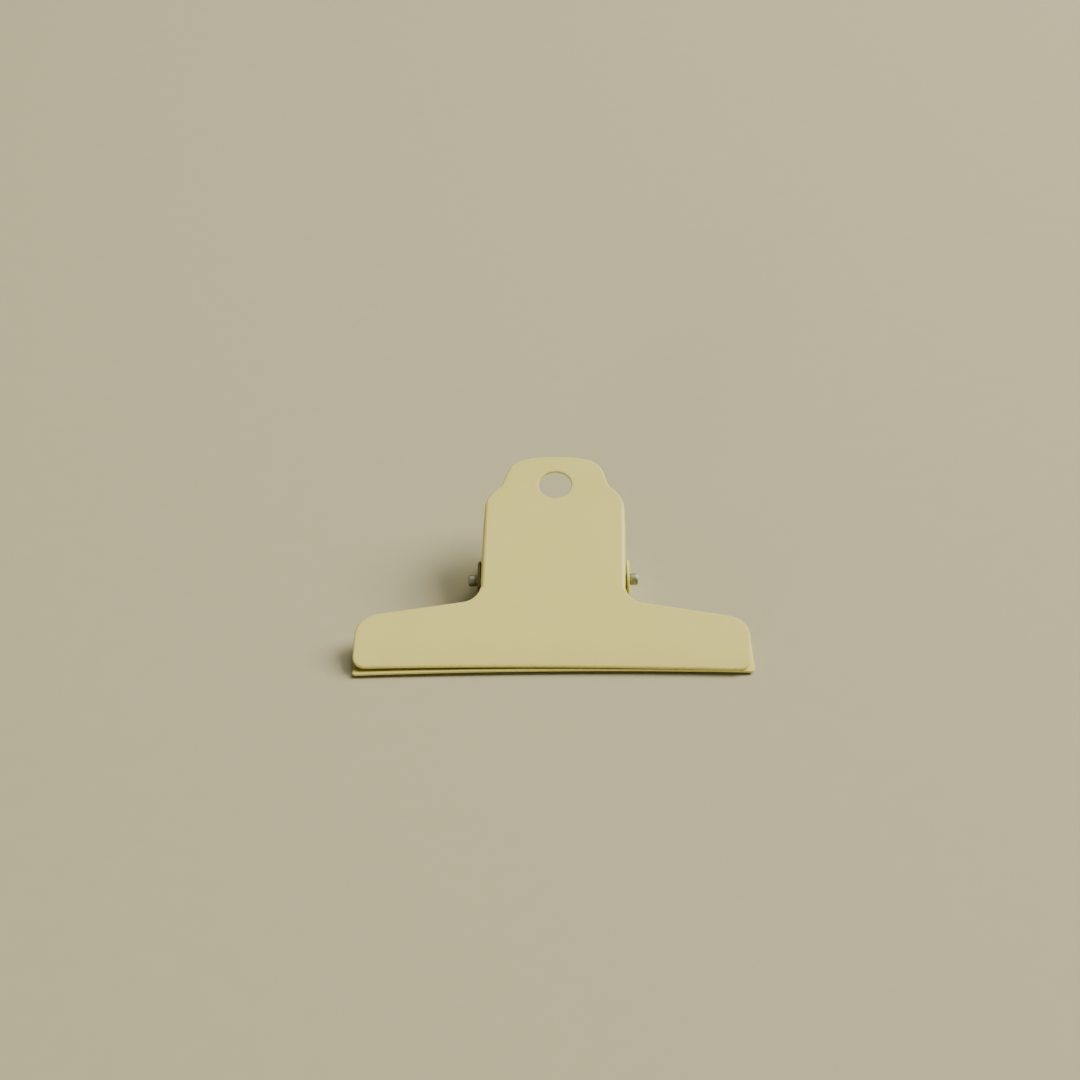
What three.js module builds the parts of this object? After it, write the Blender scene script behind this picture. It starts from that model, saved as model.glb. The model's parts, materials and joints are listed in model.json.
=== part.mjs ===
// A wide-jaw spring clip: two stamped sheet plates, the pin they turn on, and the torsion
// spring that holds the jaws shut. Millimetres. +X runs along the jaws, +Y from the jaws to
// the handles, +Z up. The back plate lies on Z = 0, and the origin is on its outer face,
// straight under the hinge pin.

import * as THREE from "three";
import { mergeVertices } from "three/addons/utils/BufferGeometryUtils.js";

// Sheet and hinge
const SHEET = 0.9;
const PIN_DEPTH = 8.2;          // pin axis below the outer face of each plate
const PIN_TO_JAW = 39.5;        // along the sheet, from the pin to the jaw edge
const PIN_TO_TIP = 45.9;        // along the sheet, from the pin to the handle's tip
const PIN_SHANK_RADIUS = 1.6;
const PIN_HEAD_RADIUS = 1.95;
const PIN_HEAD_LENGTH = 2.65;
const PIN_HEAD_ROUND = 0.6;
const PIN_PLAY = 0.5;           // free neck between each ear and the head beside it
const PIN_SHIFT = -0.2;         // the pin has slid to the left in its ears
const EAR_HOLE_CLEARANCE = 0.3;
const EAR_RADIUS = 6.4;
const EAR_CLEARANCE = 0.4;      // between the front plate's sides and the back plate's ears

// Jaw, measured from the jaw edge
const JAW_WIDTH = 127;          // of the front plate
const JAW_CORNER_RADIUS = 4.2;
const BACK_JAW_OVERHANG = 0.4;  // the back jaw stands past the front one at each end
const BACK_JAW_REACH = 0.8;     // and along its edge, where the front jaw closes on its face
const BACK_CORNER_RADIUS = 1.2;
const JAW_EDGE_HOLLOW = 1.0;    // the edge draws in this much at mid-width
const WING_END_HEIGHT = 19.2;
const WING_ROOT_HEIGHT = 26.2;
const WING_CORNER_RADIUS = 8;
const WING_ROOT_RADIUS = 6.5;
const LIP_LENGTH = 12.8;        // the stretch that curls in to meet the other jaw
const LIP_RADIUS = 82;
const LIP_EASE = 0.45;          // share of the curl that is gone at the jaw's ends
const LIP_GAP = 0.3;            // between the two lips at rest

// Handle, measured down from the tip
const HANDLE_WIDTH = 47.5;
const TIP_RADIUS = 50;
const CROWN_HALF_WIDTH = 15;
const CROWN_RADIUS = 8;
const NECK_HALF_WIDTH = 18.2;
const NECK_DROP = 12.6;
const NECK_RADIUS = 5;
const SHOULDER_DROP = 17.4;
const SHOULDER_RADIUS = 13.5;
const HANG_HOLE_DROP = 12.2;
const HANG_HOLE_RADIUS = 5.6;

// Folded sides of the handle
const BEND_RADIUS = 1.5;        // outer face of the fold
const FLANGE_DEPTH = 2.7;       // from the outer face to the flange's edge
const FLANGE_FADE = 3;          // length over which the fold rises to a right angle, up to the ears
const FLANGE_FALL = 8;          // length over which it goes flat again, along the shoulder
const FLANGE_TAPER = 4;         // length over which the flange grows shallow before that
const FLAT_BELOW_HOLE = 0.2;    // the sides have gone flat this far below the hanging hole
const FLANGE_FILLET = 0.9;
const EAR_STEP_RUN = 2.6;       // length over which the back plate's sides step in past its ears

// The front plate hangs this much out of square on its pin
const FRONT_TURN = THREE.MathUtils.degToRad(0.9);

// Torsion spring
const WIRE_RADIUS = 0.8;
const COIL_RADIUS = 3.5;        // to the middle of the wire
const COIL_PITCH = 2.15;
const COIL_WHOLE_TURNS = 12;    // counted before the half turn that parts the legs
const LEG_REACH = 24;           // from the pin along each handle
const LEG_CLEARANCE = 0.3;
const CURL_STEPS = 8;
const WIRE_SIDES = 5;

// Facets
const CHORD_ERROR = 0.05;
const SNAP = 0.02;              // an outline point this near to a press line is put on it
const MERGE = 1e-4;             // points nearer than this are one point
const BEND_STEPS = 3;
const WING_STEPS = 3;
const LIP_STEPS = 4;
const FADE_STEPS = 3;
const TIP_STEPS = 3;
const ROUND_STEPS = 4;
const TIGHTEST_ARC = 0.2;       // an arc tighter than this gets the steps of this radius

// What follows from the sizes above
const HALF_JAW = JAW_WIDTH / 2;
const HALF_HANDLE = HANDLE_WIDTH / 2;
const FOLD_LINE = HALF_HANDLE - BEND_RADIUS;
const BEND_NEUTRAL = BEND_RADIUS - SHEET / 2;
const BEND_LENGTH = BEND_NEUTRAL * Math.PI / 2;
const EAR_STEP = SHEET + EAR_CLEARANCE;
const EAR_HOLE_RADIUS = PIN_SHANK_RADIUS + EAR_HOLE_CLEARANCE;
const JAW_EDGE = -PIN_TO_JAW;
const WING_ROOT = JAW_EDGE + WING_ROOT_HEIGHT;
const FLANGE_START = -EAR_RADIUS - FLANGE_FADE;
const FLANGE_END = PIN_TO_TIP - HANG_HOLE_DROP - HANG_HOLE_RADIUS - FLAT_BELOW_HOLE;

// Distance out from the fold line, on the flat blank, of what lies at this depth once folded
const developed = (depth) => BEND_LENGTH + depth - BEND_RADIUS;
const FLANGE_EDGE = FOLD_LINE + developed(FLANGE_DEPTH);
const EAR_CENTRE = FOLD_LINE + developed(PIN_DEPTH);

// The inner corner of a lip at mid-width, in its own plate's frame: how far from the pin, how
// deep. The edge draws in there, so the curl is that much shorter
const lipAngle = (LIP_LENGTH - JAW_EDGE_HOLLOW) / LIP_RADIUS;
const lipInner = LIP_RADIUS - SHEET;
const lipReach = PIN_TO_JAW - LIP_LENGTH + lipInner * Math.sin(lipAngle);
const lipDepth = LIP_RADIUS - lipInner * Math.cos(lipAngle);

// Half the angle between the plates: the lips then stand LIP_GAP apart
const toLip = Math.hypot(PIN_DEPTH - lipDepth, lipReach);
const HALF_ANGLE = Math.acos(LIP_GAP / 2 / toLip) - Math.atan2(lipReach, PIN_DEPTH - lipDepth);
const JAW_ANGLE = 2 * HALF_ANGLE;

// What tells the two plates apart. The front one hangs inside the back one's ears
const BACK = {
  halfJaw: HALF_JAW + BACK_JAW_OVERHANG,
  jawEdge: JAW_EDGE - BACK_JAW_REACH,
  cornerRadius: BACK_CORNER_RADIUS,
  earStep: EAR_STEP,
  turn: 0,
};
const FRONT = {
  halfJaw: HALF_JAW, jawEdge: JAW_EDGE, cornerRadius: JAW_CORNER_RADIUS, earStep: 0, turn: FRONT_TURN,
};

// Points of an arc that stay within CHORD_ERROR of it
function arcSteps(radius, turn) {
  const step = 2 * Math.acos(1 - CHORD_ERROR / Math.max(radius, TIGHTEST_ARC));
  return Math.max(2, Math.ceil(Math.abs(turn) / step));
}

// A closed outline through corners [x, y, radius], each rounded as far as its sides allow
function roundedOutline(corners) {
  const count = corners.length;
  const at = corners.map(([x, y]) => new THREE.Vector2(x, y));
  const sides = at.map((point, i) => at[(i + 1) % count].clone().sub(point));
  const turns = sides.map((side, i) => {
    const before = sides[(i + count - 1) % count];
    return Math.atan2(before.cross(side), before.dot(side));
  });
  const trims = turns.map((turn, i) => corners[i][2] * Math.tan(Math.abs(turn) / 2));
  const points = [];
  for (let i = 0; i < count; i += 1) {
    const before = (i + count - 1) % count;
    const roomBefore = sides[before].length() / (trims[before] + trims[i] || 1);
    const roomAfter = sides[i].length() / (trims[(i + 1) % count] + trims[i] || 1);
    const share = Math.min(1, roomBefore, roomAfter);
    const radius = corners[i][2] * share;
    const along = sides[before].clone().normalize();
    const start = at[i].clone().addScaledVector(along, -trims[i] * share);
    const left = new THREE.Vector2(-along.y, along.x).multiplyScalar(Math.sign(turns[i]));
    const centre = start.clone().addScaledVector(left, radius);
    const steps = radius > 0 ? arcSteps(radius, turns[i]) : 0;
    for (let k = 0; k <= steps; k += 1) {
      const point = start.clone();
      if (steps > 0) {
        point.rotateAround(centre, turns[i] * k / steps);
      }
      const last = points[points.length - 1];
      if (!last || last.distanceTo(point) > SNAP) {
        points.push(point);
      }
    }
  }
  if (points[0].distanceTo(points[points.length - 1]) < SNAP) {
    points.pop();
  }
  return points;
}

function circle(x, y, radius) {
  const steps = arcSteps(radius, 2 * Math.PI);
  const points = [];
  for (let k = 0; k < steps; k += 1) {
    const angle = 2 * Math.PI * k / steps;
    points.push(new THREE.Vector2(x + radius * Math.cos(angle), y + radius * Math.sin(angle)));
  }
  return points;
}

// Height of the handle's arched tip at this distance from the middle
function tipArc(x) {
  return PIN_TO_TIP - TIP_RADIUS + Math.sqrt(TIP_RADIUS ** 2 - x ** 2);
}

// The right-hand edge of the flat blank, from the jaw edge up to the tip
function rightEdge({ halfJaw, jawEdge, cornerRadius }) {
  const earTip = EAR_CENTRE + EAR_RADIUS;
  const right = [
    [halfJaw, jawEdge, cornerRadius],
    [halfJaw, JAW_EDGE + WING_END_HEIGHT, WING_CORNER_RADIUS],
    [HALF_HANDLE, WING_ROOT, WING_ROOT_RADIUS],
    [HALF_HANDLE, -EAR_RADIUS, FLANGE_FILLET],
    [earTip, -EAR_RADIUS, EAR_RADIUS],
    [earTip, EAR_RADIUS, EAR_RADIUS],
    [FLANGE_EDGE, EAR_RADIUS, FLANGE_FILLET],
    [FLANGE_EDGE, FLANGE_END - FLANGE_FALL - FLANGE_TAPER, FLANGE_TAPER],
    [HALF_HANDLE, FLANGE_END - FLANGE_FALL, FLANGE_TAPER],
    [HALF_HANDLE, PIN_TO_TIP - SHOULDER_DROP, SHOULDER_RADIUS],
    [NECK_HALF_WIDTH, PIN_TO_TIP - NECK_DROP, NECK_RADIUS],
    [CROWN_HALF_WIDTH, tipArc(CROWN_HALF_WIDTH), CROWN_RADIUS],
  ];
  for (let k = TIP_STEPS - 1; k > 0; k -= 1) {
    const x = CROWN_HALF_WIDTH * k / TIP_STEPS;
    right.push([x, tipArc(x), 0]);
  }
  const left = right.map(([x, y, radius]) => [-x, y, radius]).reverse();
  const tip = [0, PIN_TO_TIP, 0];
  return roundedOutline([...right, tip, ...left]).filter((point) => point.x > -MERGE);
}

// The blank's holes. The ear holes sit where the pin crosses ears turned by `turn`
function blankHoles(turn) {
  const holes = [circle(0, PIN_TO_TIP - HANG_HOLE_DROP, HANG_HOLE_RADIUS)];
  for (const side of [-1, 1]) {
    const earMiddle = side * (HALF_HANDLE - SHEET / 2);
    holes.push(circle(side * EAR_CENTRE, -earMiddle * Math.tan(turn), EAR_HOLE_RADIUS));
  }
  return holes;
}

// Where the blank needs edges so that its folds and curls come out smooth
function pressLines() {
  const across = [0, FOLD_LINE / 2, FOLD_LINE, FLANGE_EDGE + FLANGE_FILLET];
  for (let k = 1; k <= BEND_STEPS; k += 1) {
    across.push(FOLD_LINE + BEND_LENGTH * k / BEND_STEPS);
  }
  for (let k = 1; k <= WING_STEPS; k += 1) {
    across.push(FOLD_LINE + (HALF_JAW - FOLD_LINE) * k / (WING_STEPS + 1));
  }
  const along = [JAW_EDGE];
  for (let k = 1; k <= LIP_STEPS; k += 1) {
    along.push(JAW_EDGE + LIP_LENGTH * k / LIP_STEPS);
  }
  for (let k = 0; k <= FADE_STEPS; k += 1) {
    along.push(FLANGE_START + FLANGE_FADE * k / FADE_STEPS);
    along.push(FLANGE_END - FLANGE_FALL * k / FADE_STEPS);
  }
  along.push(-EAR_RADIUS, EAR_RADIUS, EAR_RADIUS + EAR_STEP_RUN / 2, EAR_RADIUS + EAR_STEP_RUN);
  const spaced = (lines) => lines.sort((a, b) => a - b).filter((at, i) => {
    return i === 0 || at - lines[i - 1] > SNAP;
  });
  return { across: spaced(across), along: spaced(along) };
}

// Cuts an edge that only ever climbs into the stretches between the lines
function stretches(edge, lines) {
  const parts = [];
  let part = [edge[0]];
  let next = 1;
  for (let i = 1; i < edge.length; i += 1) {
    const from = edge[i - 1];
    const to = edge[i];
    while (next < lines.length && to.y >= lines[next]) {
      const share = (lines[next] - from.y) / (to.y - from.y);
      const crossing = from.clone().lerp(to, share);
      crossing.y = lines[next];
      if (crossing.distanceTo(part[part.length - 1]) > MERGE) {
        part.push(crossing);
      }
      parts.push(part);
      part = [crossing];
      next += 1;
    }
    if (to.distanceTo(part[part.length - 1]) > MERGE) {
      part.push(to);
    }
  }
  parts.push(part);
  return parts;
}

// Cuts every flat convex piece that crosses the line X = at
function slice(pieces, at) {
  const cut = [];
  for (const piece of pieces) {
    const apart = piece.map((point) => {
      const distance = point.x - at;
      return Math.abs(distance) < MERGE ? 0 : distance;
    });
    if (apart.every((d) => d >= 0) || apart.every((d) => d <= 0)) {
      cut.push(piece);
      continue;
    }
    const right = [];
    const left = [];
    piece.forEach((point, i) => {
      const j = (i + 1) % piece.length;
      if (apart[i] >= 0) {
        right.push(point);
      }
      if (apart[i] <= 0) {
        left.push(point);
      }
      if (apart[i] * apart[j] < 0) {
        const crossing = point.clone().lerp(piece[j], apart[i] / (apart[i] - apart[j]));
        crossing.x = at;
        right.push(crossing);
        left.push(crossing);
      }
    });
    cut.push(right, left);
  }
  return cut;
}

// The part of a contour on one side of the line X = at
function clipped(contour, at, side) {
  const kept = [];
  contour.forEach((point, i) => {
    const next = contour[(i + 1) % contour.length];
    const here = (point.x - at) * side;
    const there = (next.x - at) * side;
    if (here >= 0) {
      kept.push(point);
    }
    if (here * there < 0) {
      const crossing = point.clone().lerp(next, here / (here - there));
      crossing.x = at;
      kept.push(crossing);
    }
  });
  return kept;
}

// Triangles that fill a contour round the holes that lie in it
function faced(contour, holes) {
  const box = new THREE.Box2().setFromPoints(contour);
  const inside = holes.filter((hole) => box.containsPoint(hole[0]));
  const corners = [...contour, ...inside.flat()];
  const faces = THREE.ShapeUtils.triangulateShape(contour, inside);
  return faces.map((face) => face.map((k) => corners[k]));
}

// The flat blank as triangles that have edges along every press line
function flatTriangles(plate) {
  const { across, along } = pressLines();
  const edge = rightEdge(plate);
  for (const point of edge) {
    const line = along.find((at) => Math.abs(at - point.y) < SNAP);
    point.y = line === undefined ? point.y : line;
  }
  const holes = blankHoles(plate.turn);
  let pieces = [];
  for (const part of stretches(edge, along)) {
    const mirrored = part.filter((point) => point.x > 0).reverse();
    const contour = [...part, ...mirrored.map((point) => new THREE.Vector2(-point.x, point.y))];
    const inner = clipped(clipped(contour, FOLD_LINE, -1), -FOLD_LINE, 1);
    for (const area of [clipped(contour, -FOLD_LINE, -1), inner, clipped(contour, FOLD_LINE, 1)]) {
      if (area.length > 2) {
        pieces.push(...faced(area, holes));
      }
    }
  }
  for (const at of across) {
    pieces = slice(pieces, at);
    pieces = at > 0 ? slice(pieces, -at) : pieces;
  }
  return pieces.flatMap((piece) => {
    return piece.slice(2).map((point, k) => [piece[0], piece[k + 1], point]);
  });
}

// Gives flat triangles the sheet's thickness: two skins, and a wall along each bare edge
function thicken(triangles) {
  const numbers = new Map();
  const points = [];
  const numberOf = (point) => {
    const key = `${Math.round(point.x / MERGE)},${Math.round(point.y / MERGE)}`;
    if (!numbers.has(key)) {
      numbers.set(key, points.length);
      points.push(point);
    }
    return numbers.get(key);
  };
  const faces = [];
  const edges = new Map();
  for (const triangle of triangles) {
    const face = triangle.map(numberOf);
    const [a, b, c] = triangle;
    if (new Set(face).size < 3) {
      continue;
    }
    if (b.clone().sub(a).cross(c.clone().sub(a)) < 0) {
      face.reverse();
    }
    faces.push(face);
    face.forEach((from, k) => edges.set(`${from},${face[(k + 1) % 3]}`, [from, face[(k + 1) % 3]]));
  }
  const under = points.length;
  const index = [];
  for (const [a, b, c] of faces) {
    index.push(a, b, c, under + c, under + b, under + a);
  }
  for (const [from, to] of edges.values()) {
    if (!edges.has(`${to},${from}`)) {
      index.push(under + from, under + to, to, under + from, to, from);
    }
  }
  const places = [];
  for (const depth of [SHEET, 0]) {
    points.forEach((point) => places.push(new THREE.Vector3(point.x, point.y, depth)));
  }
  return { places, index };
}

const ramp = (value, from, to) => THREE.MathUtils.smoothstep(value, from, to);

// How far the handle's sides are folded at this distance from the pin
function foldAngle(y) {
  const risen = ramp(y, FLANGE_START, FLANGE_START + FLANGE_FADE);
  const fallen = ramp(y, FLANGE_END - FLANGE_FALL, FLANGE_END);
  return Math.PI / 2 * risen * (1 - fallen);
}

// Share of the ears' outward step that the sides have taken at this distance from the pin
function earWindow(y) {
  const risen = ramp(y, FLANGE_START, -EAR_RADIUS);
  return risen * (1 - ramp(y, EAR_RADIUS, EAR_RADIUS + EAR_STEP_RUN));
}

// Moves a point of the flat blank to its place on the pressed plate: its jaw edge drawn in,
// its sides folded, its ears stepped out by `step`, its lip curled. Z is the depth below the
// outer face.
function press(point, step) {
  const lipStart = JAW_EDGE + LIP_LENGTH;
  const middle = 1 - (point.x / HALF_JAW) ** 2;
  point.y += JAW_EDGE_HOLLOW * middle * (1 - ramp(point.y, JAW_EDGE, lipStart));
  const side = Math.sign(point.x);
  const out = Math.abs(point.x) - FOLD_LINE;
  const inner = BEND_RADIUS - point.z;
  const spread = side * step * earWindow(point.y) * ramp(out, -HALF_HANDLE / 4, 0);
  if (out > 0) {
    const angle = Math.min(foldAngle(point.y), out / BEND_NEUTRAL);
    const beyond = out - angle * BEND_NEUTRAL;
    point.x = side * (FOLD_LINE + inner * Math.sin(angle) + beyond * Math.cos(angle));
    point.z = BEND_RADIUS - inner * Math.cos(angle) + beyond * Math.sin(angle);
  }
  point.x += spread;
  if (point.y < lipStart) {
    const radius = LIP_RADIUS / (1 - LIP_EASE * (1 - middle));
    const angle = (lipStart - point.y) / radius;
    const inward = radius - point.z;
    point.y = lipStart - inward * Math.sin(angle);
    point.z = radius - inward * Math.cos(angle);
  }
}

// One stamped plate, in its own frame: outer face at Z = 0, pin axis at Y = 0
function stampedPlate(plate) {
  const { places, index } = thicken(flatTriangles(plate));
  places.forEach((place) => press(place, plate.earStep));
  const geometry = new THREE.BufferGeometry().setFromPoints(places);
  geometry.setIndex(index);
  geometry.computeVertexNormals();
  return geometry;
}

// A closed mesh from loose triangles
function solidGeometry(places) {
  const loose = new THREE.BufferGeometry();
  loose.setAttribute("position", new THREE.Float32BufferAttribute(places, 3));
  const merged = mergeVertices(loose, MERGE);
  merged.computeVertexNormals();
  return merged;
}

// The pin: a shank with a rounded, swaged head past each outer ear
function pinGeometry() {
  const headStart = HALF_HANDLE + EAR_STEP + PIN_PLAY;
  const end = headStart + PIN_HEAD_LENGTH;
  const half = [[PIN_SHANK_RADIUS, headStart], [PIN_HEAD_RADIUS, headStart]];
  const round = Math.min(PIN_HEAD_ROUND, PIN_HEAD_RADIUS, PIN_HEAD_LENGTH);
  for (let k = 0; k <= ROUND_STEPS; k += 1) {
    const angle = Math.PI / 2 * k / ROUND_STEPS;
    const radius = PIN_HEAD_RADIUS - round + round * Math.cos(angle);
    half.push([radius, end - round + round * Math.sin(angle)]);
  }
  half.push([0, end]);
  const profile = half.slice().reverse().map(([radius, at]) => new THREE.Vector2(radius, -at));
  profile.push(...half.map(([radius, at]) => new THREE.Vector2(radius, at)));
  return new THREE.LatheGeometry(profile, arcSteps(PIN_HEAD_RADIUS, 2 * Math.PI));
}

// The middle of the spring's wire, in a frame whose origin is the pin: up the left leg from
// the back handle, round the coil, and out along the right leg to the front handle
function springPath() {
  const legDepth = PIN_DEPTH - SHEET - LEG_CLEARANCE - WIRE_RADIUS;
  const legDistance = Math.hypot(LEG_REACH, legDepth);
  const legAngle = Math.atan2(legDepth, LEG_REACH);
  const opening = Math.acos(COIL_RADIUS / legDistance);
  const first = -legAngle - opening;
  const last = JAW_ANGLE + legAngle + opening - 2 * Math.PI * COIL_WHOLE_TURNS;
  const sweep = first - last;
  const halfCoil = COIL_PITCH * sweep / (2 * Math.PI) / 2;
  const steps = Math.round(CURL_STEPS * sweep / (2 * Math.PI));
  const at = (x, radius, angle) => {
    return new THREE.Vector3(x, radius * Math.cos(angle), radius * Math.sin(angle));
  };
  const path = [at(-halfCoil, legDistance, -legAngle)];
  for (let k = 0; k <= steps; k += 1) {
    const x = -halfCoil + 2 * halfCoil * k / steps;
    path.push(at(x, COIL_RADIUS, first - sweep * k / steps));
  }
  path.push(at(halfCoil, legDistance, JAW_ANGLE + legAngle));
  return path;
}

// The least gap between parts of a wire that are more than a turn's half apart along it
function leastGap(path) {
  const spaced = [];
  for (let i = 1; i < path.length; i += 1) {
    const pieces = Math.ceil(path[i].distanceTo(path[i - 1]) / WIRE_RADIUS);
    for (let k = 0; k < pieces; k += 1) {
      spaced.push(path[i - 1].clone().lerp(path[i], k / pieces));
    }
  }
  let least = Infinity;
  const apart = Math.ceil(Math.PI * COIL_RADIUS / WIRE_RADIUS);
  for (let i = 0; i < spaced.length; i += 1) {
    for (let j = i + apart; j < spaced.length; j += 1) {
      least = Math.min(least, spaced[i].distanceTo(spaced[j]));
    }
  }
  return least - 2 * WIRE_RADIUS;
}

// A closed tube along a path, its section carried from step to step without twist
function tubeGeometry(path, radius, sides) {
  const tangents = path.map((point, i) => {
    const ahead = path[Math.min(i + 1, path.length - 1)];
    const behind = path[Math.max(i - 1, 0)];
    return ahead.clone().sub(behind).normalize();
  });
  let normal = new THREE.Vector3(1, 0, 0);
  const rings = path.map((point, i) => {
    normal = normal.clone().addScaledVector(tangents[i], -normal.dot(tangents[i])).normalize();
    const other = tangents[i].clone().cross(normal);
    const ring = [];
    for (let k = 0; k < sides; k += 1) {
      const angle = 2 * Math.PI * k / sides;
      const place = point.clone().addScaledVector(normal, radius * Math.cos(angle));
      ring.push(place.addScaledVector(other, radius * Math.sin(angle)));
    }
    return ring;
  });
  const places = [];
  const add = (...points) => points.forEach((point) => places.push(...point.toArray()));
  const last = rings[rings.length - 1];
  for (let k = 0; k < sides; k += 1) {
    const next = (k + 1) % sides;
    for (let i = 1; i < rings.length; i += 1) {
      add(rings[i - 1][k], rings[i - 1][next], rings[i][next]);
      add(rings[i - 1][k], rings[i][next], rings[i][k]);
    }
    add(path[0], rings[0][next], rings[0][k]);
    add(path[path.length - 1], last[k], last[next]);
  }
  return solidGeometry(places);
}

const paint = new THREE.MeshStandardMaterial({ color: 0xcac19a, roughness: 0.5, metalness: 0.1 });
const frontPaint = paint.clone();
const pinSteel = new THREE.MeshStandardMaterial({ color: 0x8d8b80, roughness: 0.35, metalness: 1 });
const springSteel = new THREE.MeshStandardMaterial({ color: 0x77766f, roughness: 0.4, metalness: 1 });

function named(name, geometry, material) {
  const mesh = new THREE.Mesh(geometry, material);
  mesh.name = name;
  return mesh;
}

const clip = new THREE.Group();
clip.add(named("back_plate", stampedPlate(BACK), paint));

// Everything that is measured from the pin
const hinge = new THREE.Group();
hinge.position.z = PIN_DEPTH;
clip.add(hinge);

const pin = named("hinge_pin", pinGeometry(), pinSteel);
pin.rotation.z = -Math.PI / 2;
pin.position.x = PIN_SHIFT;
hinge.add(pin);

const path = springPath();
const spring = named("torsion_spring", tubeGeometry(path, WIRE_RADIUS, WIRE_SIDES), springSteel);
hinge.add(spring);
console.log(`torsion_spring: least gap between its turns ${leastGap(path).toFixed(2)} mm`);

// The front plate is pressed the same way and turned face up. Its ears go inside the back ones
const front = new THREE.Group();
front.rotation.x = JAW_ANGLE;
hinge.add(front);
const frontPlate = named("front_plate", stampedPlate(FRONT), frontPaint);
frontPlate.rotation.set(0, Math.PI, FRONT_TURN);
frontPlate.position.z = PIN_DEPTH;
front.add(frontPlate);

export default clip;
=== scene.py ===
"""A wide-jaw spring clip lying on its back plate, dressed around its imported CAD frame.

The sizes of the clip are in millimetres and its meshes in metres, all in the frame's axes:
+X along the jaws, +Y from the jaws to the handles, +Z up from the back plate's outer face.
"""

import json
import logging
import math
from dataclasses import dataclass
from enum import Enum
from typing import Any, NamedTuple, Sequence, Union

import bmesh
import bpy
import numpy as np
from mathutils import Matrix, Vector
from mathutils.geometry import delaunay_2d_cdt


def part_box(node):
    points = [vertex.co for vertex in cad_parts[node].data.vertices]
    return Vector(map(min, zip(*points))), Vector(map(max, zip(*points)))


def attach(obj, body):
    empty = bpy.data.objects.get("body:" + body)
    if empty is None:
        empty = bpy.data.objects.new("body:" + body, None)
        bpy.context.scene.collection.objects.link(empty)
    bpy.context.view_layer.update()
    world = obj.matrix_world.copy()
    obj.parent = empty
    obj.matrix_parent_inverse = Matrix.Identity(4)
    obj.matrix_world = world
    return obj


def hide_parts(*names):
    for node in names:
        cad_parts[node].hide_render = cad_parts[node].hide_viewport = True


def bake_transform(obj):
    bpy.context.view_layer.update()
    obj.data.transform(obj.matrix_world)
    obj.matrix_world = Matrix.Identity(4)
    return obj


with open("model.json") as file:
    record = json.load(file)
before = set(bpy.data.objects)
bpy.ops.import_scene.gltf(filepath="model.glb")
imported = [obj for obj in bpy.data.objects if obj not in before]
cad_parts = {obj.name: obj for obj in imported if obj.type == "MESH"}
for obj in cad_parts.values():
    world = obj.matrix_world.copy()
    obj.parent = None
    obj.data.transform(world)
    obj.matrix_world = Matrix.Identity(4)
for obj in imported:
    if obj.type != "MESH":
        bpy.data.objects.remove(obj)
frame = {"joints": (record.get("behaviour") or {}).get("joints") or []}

LOG = logging.getLogger("clip")
MM = 0.001
SHORTEST_SIDE = 0.02
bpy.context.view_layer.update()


class Corner(NamedTuple):
    """A corner of an outline, and the radius that rounds it."""

    x: float
    y: float
    radius: float = 0.0


def rounded_outline(corners: Sequence[Corner], arc_step: float) -> np.ndarray:
    """Rounds the corners of a closed outline.

    Args:
        corners: The corners in order, anticlockwise.
        arc_step: The most that the outline turns between two points, in radians.

    Returns:
        The outline's points, one row each.
    """
    at = np.array([(c.x, c.y) for c in corners])
    sides = np.roll(at, -1, axis=0) - at
    before = np.roll(sides, 1, axis=0)
    cross = before[:, 0] * sides[:, 1] - before[:, 1] * sides[:, 0]
    turns = np.arctan2(cross, (before * sides).sum(1))
    lengths = np.linalg.norm(sides, axis=1)
    trims = np.array([c.radius for c in corners]) * np.tan(np.abs(turns) / 2)
    points: list[np.ndarray] = []
    count = len(corners)
    for i, corner in enumerate(corners):
        ahead, behind = (i + 1) % count, (i - 1) % count
        room = [1.0]
        for other, length in ((behind, lengths[behind]), (ahead, lengths[i])):
            needed = trims[i] + trims[other]
            room.append(length / needed if needed > 0 else 1.0)
        share = min(room)
        radius = corner.radius * share
        if radius <= 0:
            points.append(at[i])
            continue
        along = before[i] / np.linalg.norm(before[i])
        left = np.array([-along[1], along[0]]) * np.sign(turns[i])
        start = at[i] - along * trims[i] * share
        centre = start + left * radius
        steps = max(2, math.ceil(abs(turns[i]) / arc_step))
        for k in range(steps + 1):
            angle = turns[i] * k / steps
            cos, sin = math.cos(angle), math.sin(angle)
            arm = start - centre
            points.append(centre + np.array([arm[0] * cos - arm[1] * sin, arm[0] * sin + arm[1] * cos]))
    return np.array(points)


def spaced(points: np.ndarray, spacing: float) -> np.ndarray:
    """Splits a closed outline's long sides and drops its doubled points.

    Args:
        points: The outline's points.
        spacing: The longest side that may be left.

    Returns:
        The outline's new points.
    """
    split: list[np.ndarray] = []
    for start, end in zip(points, np.roll(points, -1, axis=0)):
        length = float(np.linalg.norm(end - start))
        if length < SHORTEST_SIDE:
            continue
        pieces = math.ceil(length / spacing)
        split.extend(start + (end - start) * k / pieces for k in range(pieces))
    return np.array(split)


def material_side(contour: np.ndarray) -> np.ndarray:
    """Unit normals of a closed contour, one for each point, towards its left."""
    ahead = np.roll(contour, -1, axis=0) - contour
    behind = contour - np.roll(contour, 1, axis=0)
    ahead /= np.linalg.norm(ahead, axis=1)[:, None]
    behind /= np.linalg.norm(behind, axis=1)[:, None]
    along = ahead + behind
    along /= np.linalg.norm(along, axis=1)[:, None]
    return np.stack([-along[:, 1], along[:, 0]], axis=1)


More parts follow.
